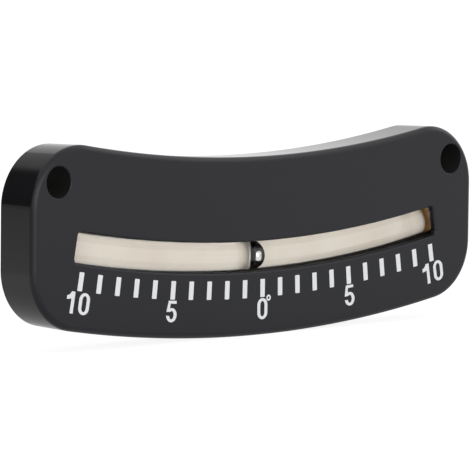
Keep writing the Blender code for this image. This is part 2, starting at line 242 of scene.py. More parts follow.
rawSet = {
    "preview": (0.02, 0.02, 0.02),
    "colours": ((0.006, 0.0055, 0.005, 1), (0.012, 0.011, 0.01, 1)),
    "patches": (300, 2, 0.5),
    "patchRange": (0, 1),
    "grain": (3000, 3, 0.6),
    "grainDepth": 0.00001,
    "roughness": 0.75,
    "spread": 0.1,
    "surface": {"IOR": 1.3},
}
backSet = {
    "preview": (0.03, 0.03, 0.032),
    "colours": ((0.017, 0.017, 0.018, 1), (0.026, 0.026, 0.027, 1)),
    "patches": (30, 2, 0.5),
    "patchRange": (0.35, 0.7),
    "grain": (2600, 4, 0.7),
    "grainDepth": 0.00002,
    "roughness": 0.52,
    "spread": 0.16,
    "surface": {"IOR": 1.45},
}
inkSet = {
    "preview": (0.85, 0.86, 0.88),
    "colours": ((0.92, 0.935, 0.96, 1), (0.955, 0.965, 0.98, 1)),
    "patches": (900, 2, 0.5),
    "patchRange": (0.3, 0.75),
    "grain": (3800, 3, 0.6),
    "grainDepth": 0.000004,
    "roughness": 0.46,
    "spread": 0.12,
    "surface": {"IOR": 1.45},
}
resinSet = {
    "preview": (0.3, 0.17, 0.06),
    "colours": ((0.185, 0.078, 0.014, 1), (0.295, 0.14, 0.031, 1)),
    "patches": (190, 2, 0.5),
    "patchRange": (0.3, 0.7),
    "grain": (700, 4, 0.6),
    "grainDepth": 0.00002,
    "roughness": 0.2,
    "spread": 0.15,
    "surface": {"IOR": 1.52, "Coat Weight": 0.3},
}
zincSet = {
    "preview": (0.6, 0.6, 0.58),
    "colours": ((0.56, 0.565, 0.57, 1), (0.66, 0.65, 0.61, 1)),
    "patches": (420, 2, 0.5),
    "patchRange": (0.35, 0.7),
    "grain": (1500, 3, 0.6),
    "grainDepth": 0.000006,
    "roughness": 0.34,
    "spread": 0.16,
    "surface": {"Metallic": 1.0},
}


def makeMottled(name, opts):
    # patches of two colours, and a fine grain that also varies the polish
    b = newMaterial(name, opts["preview"])
    patches = b.range(b.noise(*opts["patches"]), 0, 1, *opts["patchRange"])
    grain = b.noise(*opts["grain"])
    shader = b.principled(
        {
            "Base Color": b.blend(patches, *opts["colours"]),
            "Roughness": opts["roughness"] + (grain - 0.5) * opts["spread"],
            "Normal": b.bump(grain, opts["grainDepth"]),
            **opts["surface"],
        }
    )
    return b.finish(shader)


creamSet = {
    "preview": (0.76, 0.70, 0.60),
    "colours": ((0.665, 0.60, 0.527, 1), (0.722, 0.669, 0.60, 1)),
    "clouds": (70, 2, 0.5),
    "cloudRange": (0.3, 0.72),
    "fibreColour": (0.608, 0.53, 0.44, 1),
    "fibreAmount": 0.22,
    "fibreStretch": (260, 260, 900),
    "fibres": (1, 3, 0.6),
    "fibreRange": (0.35, 0.75),
    "fibreDepth": 0.000006,
    "roughness": 0.62,
    "spread": 0.1,
    # painted light: a paler tone for the strip behind the face, where the face shades it
    "paintedLightColour": (0.95, 0.88, 0.79, 1),
    "paintedLightFrom": (0.0430, 0.0462),  # from the middle, where the face starts to cover the strip and the painted light starts
}


def makeCream(opts):
    b = newMaterial("creamBacking", opts["preview"])
    fibres = b.noise(*opts["fibres"], b.stretch(opts["fibreStretch"]))
    clouds = b.range(b.noise(*opts["clouds"]), 0, 1, *opts["cloudRange"])
    stained = b.range(fibres, 0, opts["fibreAmount"], *opts["fibreRange"])
    colour = b.blend(stained, b.blend(clouds, *opts["colours"]), opts["fibreColour"])
    # painted light: the strip is paler where the face covers it, lifting the shade that falls behind the
    # face
    fromMiddle = b.maths("ABSOLUTE", b.split(b.place, "X"))
    paintedLight = b.range(fromMiddle, 0, 1, *opts["paintedLightFrom"], smooth=True)
    shader = b.principled(
        {
            "Base Color": b.blend(paintedLight, colour, opts["paintedLightColour"]),
            "Roughness": opts["roughness"] + (fibres - 0.5) * opts["spread"],
            "Normal": b.bump(fibres, opts["fibreDepth"]),
        }
    )
    return b.finish(shader)


steelSet = {
    "preview": (0.62, 0.62, 0.62),
    "colours": ((0.60, 0.60, 0.61, 1), (0.68, 0.68, 0.685, 1)),
    "roughness": 0.06,
    "polish": (2400, 4, 0.7),
    "polishSpread": 0.05,
    "lapping": (1, 2, 0.6),
    "lappingStretch": (5000, 900, 900),
    "lappingTurn": (0.3, 0.7, 0.2),
    "lappingRange": (0.6, 0.8),
    "lappingSpread": 0.05,
    "lappingDepth": 0.0000004,
}


def makeSteel(opts):
    b = newMaterial("ballSteel", opts["preview"])
    polish = b.noise(*opts["polish"])
    lapping = b.noise(*opts["lapping"], b.stretch(opts["lappingStretch"], opts["lappingTurn"]))
    scratched = b.range(lapping, 0, opts["lappingSpread"], *opts["lappingRange"])
    shader = b.principled(
        {
            "Base Color": b.blend(polish, *opts["colours"]),
            "Metallic": 1.0,
            "Roughness": opts["roughness"] + polish * opts["polishSpread"] + scratched,
            "Normal": b.bump(lapping, opts["lappingDepth"]),
        }
    )
    return b.finish(shader)


glassSet = {
    "preview": (0.95, 0.97, 0.95),
    "ior": 1.47,
    "liquidIor": 1.0,  # glass to a liquid that bends light as the glass does
    "tint": (0.99, 0.988, 0.982, 1),
    "smearColour": (0.975, 0.972, 0.962, 1),
    "smears": (160, 3, 0.5),
    "smearRange": (0.3, 0.75),
}


def makeGlass(name, opts, ior):
    b = newMaterial(name, opts["preview"])
    smears = b.range(b.noise(*opts["smears"]), 0, 1, *opts["smearRange"])
    film = b.blend(smears, opts["tint"], opts["smearColour"])
    clear = b.principled({"Base Color": film, "Roughness": 0.0, "IOR": ior, "Transmission Weight": 1.0})
    through = b.add("ShaderNodeBsdfTransparent", sockets={"Color": opts["tint"]})
    shadowRay = b.add("ShaderNodeLightPath", out="Is Shadow Ray")
    return b.finish(b.mix(shadowRay, clear, through))


# Outlines, right and up in the front plane, as in the solids
bodySet = {
    "halfLength": 0.05475,
    "waistHeight": 0.0321,
    "topEdgeRadius": 0.248,
    "bottomEdgeRadius": 0.278,
    "topCornerRadius": 0.0108,
    "bottomCornerRadius": 0.0107,
    "frontRound": 0.0011,
    "sideDraft": math.radians(1.6),
    "edgeSteps": 120,
    "cornerSteps": 28,
    "blendSteps": 4,
    "roundSteps": 12,
}
scaleSet = {
    "radius": 0.252522,
    "centreHeight": 0.244972,
    "step": math.radians(1),
    "eachSide": 10,
    "markWidth": 0.0011,
    "markLength": 0.00326,
    "markCorner": 0.00012,
    "cornerSteps": 4,
    "film": 0.00003,  # thickness of the printed ink
}
tubeSet = {
    "radius": 0.246762,
    "outer": 0.0054,
    "bore": 0.0045,
    "hidden": 0.0034,  # length of tube behind the face, past each end of the window
    "recess": 0.00135,  # from the face to the crown of the tube
    "sides": 96,
    "along": 160,
    "cutterTurn": 0.002,  # angle by which the bore's cutter passes each end
}
tubeY = faceY + tubeSet["recess"] + tubeSet["outer"] / 2


def onArc(radius, angle):
    return Vector((radius * math.sin(angle), scaleSet["centreHeight"] - radius * math.cos(angle)))


def arcPoints(centre, width, height, first, last, steps):
    angles = [first + (last - first) * step / steps for step in range(steps + 1)]
    return [centre + Vector((width * math.cos(a), height * math.sin(a))) for a in angles]


def bodyOutline(inset):
    s = bodySet
    half = s["halfLength"] - inset
    upperCentre = Vector((0, s["waistHeight"] / 2 + s["topEdgeRadius"]))
    lowerCentre = Vector((0, s["bottomEdgeRadius"] - s["waistHeight"] / 2))
    upperRadius, lowerRadius = s["topEdgeRadius"] + inset, s["bottomEdgeRadius"] - inset
    topRound, bottomRound = s["topCornerRadius"] - inset, s["bottomCornerRadius"] - inset
    topReach, bottomReach = upperRadius + topRound, lowerRadius - bottomRound
    topTurn = math.asin((half - topRound) / topReach)
    bottomTurn = math.asin((half - bottomRound) / bottomReach)
    topCorner = upperCentre + topReach * Vector((math.sin(topTurn), -math.cos(topTurn)))
    bottomCorner = lowerCentre + bottomReach * Vector((math.sin(bottomTurn), -math.cos(bottomTurn)))
    up, down, steps = math.pi / 2, -math.pi / 2, s["cornerSteps"]
    right = arcPoints(topCorner, topRound, topRound, up + topTurn, up, s["blendSteps"])[:-1]
    right += arcPoints(topCorner, topRound, topRound, up, 0, steps)
    right += arcPoints(bottomCorner, bottomRound, bottomRound, 0, down + bottomTurn, steps)
    left = [Vector((-p.x, p.y)) for p in reversed(right)]
    edge = s["edgeSteps"]
    top = arcPoints(upperCentre, upperRadius, upperRadius, down - topTurn, down + topTurn, edge)
    bottom = arcPoints(lowerCentre, lowerRadius, lowerRadius, down + bottomTurn, down - bottomTurn, edge)
    return top[1:-1] + right + bottom[1:-1] + left


def bentSlot(radius, halfAngle, height, corner, growth=0.0, bend=120, rounds=10):
    rounding = corner + growth
    along = radius * halfAngle + growth - rounding
    across = height / 2 + growth - rounding
    quarter = math.pi / 2
    points = []
    for turn, (side, rise) in enumerate(((1, 1), (-1, 1), (-1, -1), (1, -1))):
        centre = Vector((side * along, rise * across))
        points += arcPoints(centre, rounding, rounding, turn * quarter, (turn + 1) * quarter, rounds)
        if side == rise:
            ends = [side * along * (1 - 2 * step / bend) for step in range(1, bend)]
            points += [Vector((end, rise * (across + rounding))) for end in ends]
    return [onArc(radius - p.y, p.x / radius) for p in points]


def roundLevels(width, depth, steps):
    angles = [step * math.pi / 2 / steps for step in range(steps + 1)]
    return [(width * (1 - math.sin(a)), depth * (1 - math.cos(a))) for a in angles]


# Mesh helpers
overrun = 0.001  # how far a cutter runs past what it cuts
weldGap = 1e-7  # vertices nearer than this become one


def toObject(name, shape):
    bmesh.ops.recalc_face_normals(shape, faces=shape.faces)
    mesh = bpy.data.meshes.new(name)
    shape.to_mesh(mesh)
    shape.free()
    made = bpy.data.objects.new(name, mesh)
    scene.collection.objects.link(made)
    return made


def loft(name, sections):
    shape = bmesh.new()
    rings = [[shape.verts.new((p.x, y, p.y)) for p in outline] for outline, y in sections]
    for first, second in zip(rings, rings[1:]):
        for i in range(len(first)):
            shape.faces.new((first[i - 1], first[i], second[i], second[i - 1]))
    shape.faces.new(rings[0])
    shape.faces.new(rings[-1])
    return toObject(name, shape)


def spin(shape, profile, centre, axis, steps):
    points = [shape.verts.new(point) for point in profile]
    edges = [shape.edges.new(pair) for pair in zip(points, points[1:])]
    whole = {"angle": 2 * math.pi, "steps": steps, "use_merge": True}
    bmesh.ops.spin(shape, geom=points + edges, cent=centre, axis=axis, **whole)
    bmesh.ops.remove_doubles(shape, verts=shape.verts, dist=weldGap)


def turned(name, profile, steps, places=((0, 0),)):
    shape = bmesh.new()
    for x, z in places:
        spin(shape, [(x + radius, y, z) for radius, y in profile], (x, 0, z), (0, 1, 0), steps)
    return toObject(name, shape)


def subtract(target, *cutters):
    for cutter in cutters:
        modifier = target.modifiers.new(cutter.name, "BOOLEAN")
        modifier.operation = "DIFFERENCE"
        modifier.solver = "EXACT"
        modifier.object = cutter
    bake(target)
    for cutter in cutters:
        bpy.data.objects.remove(cutter, do_unlink=True)


def bake(target):
    # live modifiers become the plain mesh
    graph = bpy.context.evaluated_depsgraph_get()
    graph.update()
    mesh = bpy.data.meshes.new_from_object(target.evaluated_get(graph), depsgraph=graph)
    target.modifiers.clear()
    old = target.data
    target.data = mesh
    mesh.name = target.name
    bpy.data.meshes.remove(old)


def soften(target, angle=35):
    # smooth shading up to edges that turn by more than the angle
    target.data.shade_smooth()
    target.data.set_sharp_from_angle(angle=math.radians(angle))


def smooth(target, angle=35):
    soften(target, angle)
    weighted = target.modifiers.new("weighted", "WEIGHTED_NORMAL")
    weighted.keep_sharp = True
    weighted.weight = 100
    bake(target)


def dress(target, *materials):
    target.data.materials.clear()
    for material in materials:
        target.data.materials.append(material)


def hand(piece, body, slot, *replaced):
    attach(piece, body)
    if replaced:
        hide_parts(*replaced)


# Housing and rear cover
windowSet = {
    "halfLength": 0.0447,
    "lap": 0.00004,  # of each lip over the tube
    "corner": 0.0007,
    "flare": 0.0005,
    "flareDepth": 0.0006,
    "flareSteps": 8,
    "lip": 0.0011,
    "fitGap": 0.00025,
}
holeSet = {
    "diameter": 0.0055,
    "fromEnd": 0.00575,
    "fromTop": 0.0062,
    "flare": 0.00025,
    "flareSteps": 8,
    "sides": 96,
}
coverSet = {
    "thickness": 0.0012,
    "rim": 0.0012,
    "chamfer": 0.00025,
    "softened": (0.35, 0.3),  # a point on the chamfer, as shares of it inwards and from the back
    "cutDepth": 0.004,  # where the cutters of its mounting holes start
}
screwSet = {
    "shank": 0.0018,
    "length": 0.005,
    "point": 0.0009,
    "head": 0.0034,
    "headHeight": 0.0009,
    "crown": ((0, 0.00004), (0.8, 0.00003)),  # shares of the head's radius, and depths there
    "rim": 0.0001,
    "rimDepth": 0.00001,
    "sides": 40,
    "gap": 0.0002,
    "holeSides": 48,
    "crossWidth": 0.00042,
    "crossReach": 0.0019,
    "crossDepth": 0.0005,
    "crossTaper": 0.6,
    "crossRise": 0.0001,
    "turnSeed": 7,
    "sharpAngle": 30,
}
plugSet = {
    "setBack": 0.00145,  # inner face of the plug, past the end of the window
    "gap": 0.00025,
    "fit": 0.00001,  # less than the radius of the bore and of the tube
    "clear": 0.00002,  # rim of the head to the end of the tube
    "head": 0.0012,
    "headRound": 0.0004,
    "headSteps": 8,
    "meniscus": 0.0005,
    "meniscusSteps": 12,
    "sides": 72,
    "sharpAngle": 40,
}
screwNames = [f"cover_screw_{number}" for number in range(1, 5)]
windowAngle = math.asin(windowSet["halfLength"] / tubeSet["radius"])
tubeAngle = windowAngle + tubeSet["hidden"] / tubeSet["radius"]
stripAngle = tubeAngle + (plugSet["gap"] + plugSet["head"]) / tubeSet["radius"]
channelAngle = stripAngle + windowSet["fitGap"] / tubeSet["radius"]


def holePlaces():
    tallest = max(p.y for p in bodyOutline(0))
    x = bodySet["halfLength"] - holeSet["fromEnd"]
    return [(side * x, tallest - holeSet["fromTop"]) for side in (-1, 1)]


def screwPlaces():
    places = []
    for name in screwNames:
        low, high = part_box(name)
        places.append(((low.x + high.x) / 2, (low.z + high.z) / 2))
    return places


def screwHoles(name):
    head, shank, gap = screwSet["head"] / 2, screwSet["shank"] / 2, screwSet["gap"]
    tip = -screwSet["length"] - gap
    profile = [(0, overrun), (head + gap, overrun), (head + gap, 0)]
    profile += [(shank + gap, -screwSet["headHeight"]), (shank + gap, tip), (0, tip)]
    return turned(name, profile, screwSet["holeSides"], screwPlaces())


def mountHoles(name, flared):
    radius, flare = holeSet["diameter"] / 2, holeSet["flare"]
    if flared:
        profile = [(0, faceY - overrun), (radius + flare, faceY - overrun)]
        levels = roundLevels(flare, flare, holeSet["flareSteps"])
        profile += [(radius + grow, faceY + depth) for grow, depth in levels]
    else:
        profile = [(0, -coverSet["cutDepth"]), (radius, -coverSet["cutDepth"])]
    return turned(name, profile + [(radius, overrun), (0, overrun)], holeSet["sides"], holePlaces())


def sortWalls(housing):
    # the lips of the window are satin like the face, and what lies behind them or in a screw hole is raw
    sideSlack, depthSlack, faceSlack = 0.00002, 0.00001, 0.000001
    flareReach = windowSet["flare"] + sideSlack
    halfTube, holes = tubeSet["outer"] / 2, holePlaces()
    channelReach = halfTube + windowSet["fitGap"] + sideSlack
    for polygon in housing.data.polygons:
        x, y, z = polygon.center
        depth, down = y - faceY, scaleSet["centreHeight"] - z
        across = abs(math.hypot(x, down) - tubeSet["radius"])
        along = abs(math.atan2(x, down)) * tubeSet["radius"]
        fromHole = min(math.hypot(x - holeX, z - holeZ) for holeX, holeZ in holes)
        inHole = fromHole < holeSet["diameter"] / 2 + sideSlack
        inChannel = across < channelReach and along < channelAngle * tubeSet["radius"] + sideSlack
        inWindow = across < halfTube + flareReach and along < windowAngle * tubeSet["radius"] + flareReach
        rawHole = inHole and depth > holeSet["flare"] - depthSlack
        rawChannel = inChannel and depth > windowSet["lip"] - depthSlack
        if rawHole or rawChannel:
            polygon.material_index = 1
        elif inWindow and faceSlack < depth < windowSet["lip"]:
            polygon.material_index = 2


def makeHousing(plastic, raw, satin):
    s = bodySet
    front = roundLevels(s["frontRound"], s["frontRound"], s["roundSteps"])
    rearInset = (-faceY - s["frontRound"]) * math.tan(s["sideDraft"])
    sections = [(bodyOutline(inset), faceY + depth) for inset, depth in front]
    sections += [(bodyOutline(rearInset), 0)]
    housing = loft("housingShell", sections)
    w = windowSet
    height = tubeSet["outer"] - 2 * w["lap"]
    lipY = faceY + w["lip"]

    def window(growth):
        return bentSlot(tubeSet["radius"], windowAngle, height, w["corner"], growth)

    levels = roundLevels(w["flare"], w["flareDepth"], w["flareSteps"])
    flare = [(window(w["flare"]), faceY - overrun)]
    flare += [(window(grow), faceY + depth) for grow, depth in levels]
    windowCut = loft("windowCut", flare + [(window(0), lipY + overrun)])
    channel = bentSlot(tubeSet["radius"], channelAngle, tubeSet["outer"] + 2 * w["fitGap"], w["corner"])
    channelCut = loft("channelCut", [(channel, lipY), (channel, overrun)])
    recess = bodyOutline(rearInset + coverSet["rim"])
    recessCut = loft("recessCut", [(recess, -coverSet["thickness"] - w["fitGap"]), (recess, overrun)])
    subtract(housing, windowCut, channelCut, recessCut, mountHoles("holeCut", True), screwHoles("screwCut"))
    smooth(housing)
    dress(housing, plastic, raw, satin)
    sortWalls(housing)
    hand(housing, "housing", "housing_plastic", "front_housing")
    return rearInset


def makeCover(plastic, rearInset):
    c = coverSet
    chamfer = c["chamfer"]
    edge = rearInset + c["rim"] + windowSet["fitGap"]
    inwards, back = c["softened"]
    levels = [(0, c["thickness"]), (0, chamfer), (chamfer * inwards, chamfer * back), (chamfer, 0)]
    cover = loft("rearCover", [(bodyOutline(edge + inset), -depth) for inset, depth in levels])
    subtract(cover, mountHoles("coverHoleCut", False), screwHoles("coverScrewCut"))
    smooth(cover)
    dress(cover, plastic)
    hand(cover, "housing", "cover_plastic", "rear_cover")


plastics = [
    makePlastic("housingPlastic", plasticSet, 1),
    makeMottled("rawPlastic", rawSet),
    makePlastic("lipPlastic", plasticSet, plasticSet["lipGloss"]),
]
rearInset = makeHousing(*plastics)
makeCover(makeMottled("coverPlastic", backSet), rearInset)
print("housing and cover made")


# Geometry node workbench
class Grove:
    # a geometry node tree with named inputs
    def __init__(self, name, inputs):
        self.tree = bpy.data.node_groups.new(name, "GeometryNodeTree")
        self.tree.interface.new_socket("Geometry", in_out="OUTPUT", socket_type="NodeSocketGeometry")
        self.keys = {}
        for title, kind in inputs.items():
            made = self.tree.interface.new_socket(title, in_out="INPUT", socket_type="NodeSocket" + kind)
            self.keys[title] = made.identifier
        self.group = self.tree.nodes.new("NodeGroupInput")

    def given(self, title):
        return Wire(self, self.group.outputs[title])

    add = Bench.add
    find = Bench.find
    maths = Bench.maths

    def vector(self, x, y, z):
        return self.add("ShaderNodeCombineXYZ", sockets={"X": x, "Y": y, "Z": z})

    def close(self, geometry, material, where=True):
        # every tree ends in real geometry with its material on it
        real = self.add("GeometryNodeRealizeInstances", sockets={"Geometry": geometry})
        paint = {"Geometry": real, "Selection": where, "Material": material}
        painted = self.add("GeometryNodeSetMaterial", sockets=paint)
        end = self.tree.nodes.new("NodeGroupOutput")
        self.tree.links.new(painted.socket, end.inputs["Geometry"])

    def grow(self, target, values):
        modifier = target.modifiers.new(self.tree.name, "NODES")
        modifier.node_group = self.tree
        for title, value in values.items():
            modifier[self.keys[title]] = value
        bake(target)


# Printed scale
def plate(name, outlines, thickness):
    # a flat film from an outline and, if it has one, the outline of its hole
    shape = bmesh.new()
    rings = [[shape.verts.new((p.x, 0, p.y)) for p in outline] for outline in outlines]
    if len(rings) == 1:
        shape.faces.new(rings[0])
    else:
        for i in range(len(rings[0])):
            shape.faces.new((rings[0][i - 1], rings[0][i], rings[1][i], rings[1][i - 1]))
    raised = bmesh.ops.extrude_face_region(shape, geom=shape.faces[:])
    moved = [item for item in raised["geom"] if isinstance(item, bmesh.types.BMVert)]
    bmesh.ops.translate(shape, verts=moved, vec=(0, -thickness, 0))
    return toObject(name, shape)


def makeMarkTree():
    g = Grove(
        "marksOnArc",
        {
            "Geometry": "Geometry",
            "Count": "Int",
            "Step": "Float",
            "Arc Radius": "Float",
            "Centre Height": "Float",
            "Face": "Float",
            "Material": "Material",
        },
    )
    count, step, radius = g.given("Count"), g.given("Step"), g.given("Arc Radius")
    line = g.add("GeometryNodeMeshLine", sockets={"Count": count, "Offset": (0, 0, 0)})
    angle = (g.add("GeometryNodeInputIndex") - (count - 1) * 0.5) * step
    x = radius * g.maths("SINE", angle)
    z = g.given("Centre Height") - radius * g.maths("COSINE", angle)
    spot = g.vector(x, g.given("Face"), z)
    placed = g.add("GeometryNodeSetPosition", sockets={"Geometry": line, "Position": spot})
    turn = g.add("FunctionNodeEulerToRotation", sockets={"Euler": g.vector(0, 0 - angle, 0)})
    copies = g.add(
        "GeometryNodeInstanceOnPoints",
        sockets={"Points": placed, "Instance": g.given("Geometry"), "Rotation": turn},
    )
    g.close(copies, g.given("Material"))
    return g


def makeMarks(ink):
    s = scaleSet
    corner = s["markCorner"]
    inner = Vector((s["markWidth"] / 2 - corner, s["markLength"] / 2 - corner))
    outline = []
    for turn, (side, rise) in enumerate(((1, 1), (-1, 1), (-1, -1), (1, -1))):
        centre = Vector((side * inner.x, rise * inner.y))
        first, last = turn * math.pi / 2, (turn + 1) * math.pi / 2
        outline += arcPoints(centre, corner, corner, first, last, s["cornerSteps"])
    marks = plate("scaleMarks", [outline], s["film"])
    values = {"Count": 2 * s["eachSide"] + 1, "Step": s["step"], "Arc Radius": s["radius"]}
    values |= {"Centre Height": s["centreHeight"], "Face": faceY, "Material": ink}
    makeMarkTree().grow(marks, values)
    hand(marks, "housing", "white_ink", *[name for name in nodes if name.startswith("scale_tick")])


digitSet = {
    "degrees": (-10, -5, 0, 5, 10),
    "height": 0.0038,
    "width": 0.0025,
    "oneWidth": 0.0018,
    "stem": 0.00073,
    "bar": 0.00052,
    "spacing": 0.0011,
    "gap": 0.0002,
    "endShare": 0.32,  # of the height, for each rounded end of the 0
    # along the flag of the 1, shares of the width and then of the height
    "flagAcross": (1, 0.55, 0.5, 0.42, 0.25, 0, 0, 0.3),
    "flagUp": (1, 1, 0.945, 0.9, 0.835, 0.79, 0.63, 0.645),
    "notch": 0.68,
    "bowl": 0.33,  # of the height, for the radius of the 5's bowl
    "bowlOuter": (math.radians(112), math.radians(-176)),
    "bowlInner": (math.radians(-168), math.radians(125)),
    "neck": 0.48,
    "headSides": (0.16, 0.92),
    "tuck": 0.05,
    "steps": 28,
}
degreeSet = {"stroke": 0.00032, "steps": 48}


def zeroOutline(stem=0.0, bar=0.0):
    d = digitSet
    width = d["width"] / 2 - stem
    height = d["height"] * d["endShare"] - bar
    low = Vector((d["width"] / 2, d["height"] * d["endShare"]))
    high = Vector((d["width"] / 2, d["height"] * (1 - d["endShare"])))
    upper = arcPoints(high, width, height, 0, math.pi, d["steps"])
    return upper + arcPoints(low, width, height, math.pi, 2 * math.pi, d["steps"])


def oneOutline():
    d = digitSet
    shares = zip(d["flagAcross"], d["flagUp"])
    flag = [Vector((d["oneWidth"] * across, d["height"] * up)) for across, up in shares]
    left = d["oneWidth"] - d["stem"]
    return flag + [Vector((left, d["height"] * d["notch"])), Vector((left, 0)), Vector((d["oneWidth"], 0))]


def fiveOutline():
    d = digitSet
    width, height = d["width"], d["height"]
    bowl = height * d["bowl"]
    centre = Vector((width / 2, bowl))
    outer = arcPoints(centre, centre.x, bowl, *d["bowlOuter"], d["steps"])
    inner = arcPoints(centre, centre.x - d["stem"], bowl - d["bar"], *d["bowlInner"], d["steps"])
    left, right = [width * share for share in d["headSides"]]
    neck, under = height * d["neck"], height - d["bar"]
    head = [(d["stem"], neck), (0, neck), (left, height), (right, height), (right, under)]
    head += [(outer[0].x + width * d["tuck"], under)]
    return outer + inner + [Vector(point) for point in head]


def makeDigits(ink):
    d = digitSet
    shapes = {
        "0": ([zeroOutline(), zeroOutline(d["stem"], d["bar"])], d["width"]),
        "1": ([oneOutline()], d["oneWidth"]),
        "5": ([fiveOutline()], d["width"]),
    }
    middle = scaleSet["radius"] + scaleSet["markLength"] / 2 + d["gap"] + d["height"] / 2
    for step in d["degrees"]:
        side = "centre" if step == 0 else "left" if step < 0 else "right"
        digits = str(abs(step))
        angle = step * scaleSet["step"]
        start = -(sum(shapes[digit][1] for digit in digits) + d["spacing"] * (len(digits) - 1)) / 2
        for order, digit in enumerate(digits, 1):
            outlines, width = shapes[digit]
            turn = Matrix.Rotation(angle, 2)
            base = onArc(middle, angle)
            shift = Vector((start, -d["height"] / 2))
            moved = [[base + turn @ (p + shift) for p in line] for line in outlines]
            name = f"number_{side}_{digits}_digit_{order}"
            made = plate(f"ink_{side}_{digits}_{order}", moved, scaleSet["film"])
            settle(made, ink, name)
            start += width + d["spacing"]


def settle(made, ink, replaced):
    # prints a film on the face
    made.data.transform(Matrix.Translation((0, faceY, 0)))
    dress(made, ink)
    hand(made, "housing", "white_ink", replaced)


def makeDegreeRing(ink):
    low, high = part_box("degree_ring")
    centre = Vector(((low.x + high.x) / 2, (low.z + high.z) / 2))
    radius = (high.x - low.x) / 2
    sizes = (radius, radius - degreeSet["stroke"])
    rings = [arcPoints(centre, size, size, 0, 2 * math.pi, degreeSet["steps"])[:-1] for size in sizes]
    settle(plate("degreeInk", rings, scaleSet["film"]), ink, "degree_ring")


whiteInk = makeMottled("whiteInk", inkSet)
makeMarks(whiteInk)
makeDigits(whiteInk)
makeDegreeRing(whiteInk)
print("scale printed")


# Tube, ball, backing strip and end plugs
def makeTubeTree():
    g = Grove(
        "bentTube",
        {
            "Geometry": "Geometry",
            "Arc Radius": "Float",
            "Half Angle": "Float",
            "Centre Height": "Float",
            "Depth": "Float",
            "Outer": "Float",
            "Bore": "Float",
            "Cutter Turn": "Float",
            "Sides": "Int",
            "Along": "Int",
            "Glass": "Material",
            "Bore Wall": "Material",
        },
    )
    half = g.given("Half Angle")

    def swept(diameter, extra, material):
        arc = g.add(
            "GeometryNodeCurveArc",
            {"mode": "RADIUS"},
            {
                "Resolution": g.given("Along"),
                "Radius": g.given("Arc Radius"),
                "Start Angle": -math.pi / 2 - (half + extra),
                "Sweep Angle": (half + extra) * 2,
            },
        )
        ring = g.add(
            "GeometryNodeCurvePrimitiveCircle",
            {"mode": "RADIUS"},
            {"Resolution": g.given("Sides"), "Radius": diameter * 0.5},
        )
        sockets = {"Curve": arc, "Profile Curve": ring, "Fill Caps": True}
        solid = g.add("GeometryNodeCurveToMesh", sockets=sockets)
        return g.add("GeometryNodeSetMaterial", sockets={"Geometry": solid, "Material": material})

    outer = swept(g.given("Outer"), 0, g.given("Glass"))
    hollow = swept(g.given("Bore"), g.given("Cutter Turn"), g.given("Bore Wall"))
    tube = g.add(
        "GeometryNodeMeshBoolean",
        {"operation": "DIFFERENCE", "solver": "EXACT"},
        {"Mesh 1": outer, "Mesh 2": hollow},
    )
    # the arc lies in XY, so it is stood up
    stood = g.add(
        "GeometryNodeTransform",
        sockets={
            "Geometry": tube,
            "Rotation": (math.pi / 2, 0, 0),
            "Translation": g.vector(0, g.given("Depth"), g.given("Centre Height")),
        },
    )
    # what the bore didn't cut is the outside of the glass
    cut = g.add("GeometryNodeMaterialSelection", sockets={"Material": g.given("Bore Wall")})
    outside = g.add("FunctionNodeBooleanMath", {"operation": "NOT"}, {0: cut})
    g.close(stood, g.given("Glass"), outside)
    return g


def makeTube(glass, boreWall):
    t = tubeSet
    tube = bpy.data.objects.new("glassTube", bpy.data.meshes.new("glassTube"))
    scene.collection.objects.link(tube)
    values = {
        "Arc Radius": t["radius"],
        "Half Angle": tubeAngle,
        "Centre Height": scaleSet["centreHeight"],
        "Depth": tubeY,
        "Outer": t["outer"],
        "Bore": t["bore"],
        "Cutter Turn": t["cutterTurn"],
        "Sides": t["sides"],
        "Along": t["along"],
        "Glass": glass,
        "Bore Wall": boreWall,
    }
    makeTubeTree().grow(tube, values)
    soften(tube)
    hand(tube, "housing", "clear_glass", "glass_tube")


ballSet = {"cuts": 31}


def makeBall(steel):
    # a cube's faces divided evenly and pushed out to the sphere, so that it has no poles
    low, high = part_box("steel_ball")
    centre, radius = (low + high) / 2, (high.z - low.z) / 2
    shape = bmesh.new()
    bmesh.ops.create_cube(shape, size=2)
    bmesh.ops.subdivide_edges(shape, edges=shape.edges[:], cuts=ballSet["cuts"], use_grid_fill=True)
    for vert in shape.verts:
        vert.co = centre + radius * Vector([math.tan(c * math.pi / 4) for c in vert.co]).normalized()
    ball = toObject("ballSphere", shape)
    ball.data.shade_smooth()
    dress(ball, steel)
    hand(ball, "ball", "polished_steel", "steel_ball")


stripSet = {"chamfer": 0.0001, "sharpAngle": 50}


def makeBacking(cream):
    low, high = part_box("backing_strip")
    chamfer = stripSet["chamfer"]
    sections = []
    for inset, y in ((chamfer, low.y), (0, low.y + chamfer), (0, high.y - chamfer), (chamfer, high.y)):
        outline = bentSlot(tubeSet["radius"], stripAngle, tubeSet["outer"], windowSet["corner"], -inset)
        sections.append((outline, y))
    strip = loft("backingStrip", sections)
    smooth(strip, stripSet["sharpAngle"])
    dress(strip, cream)
    hand(strip, "housing", "cream_plastic", "backing_strip")


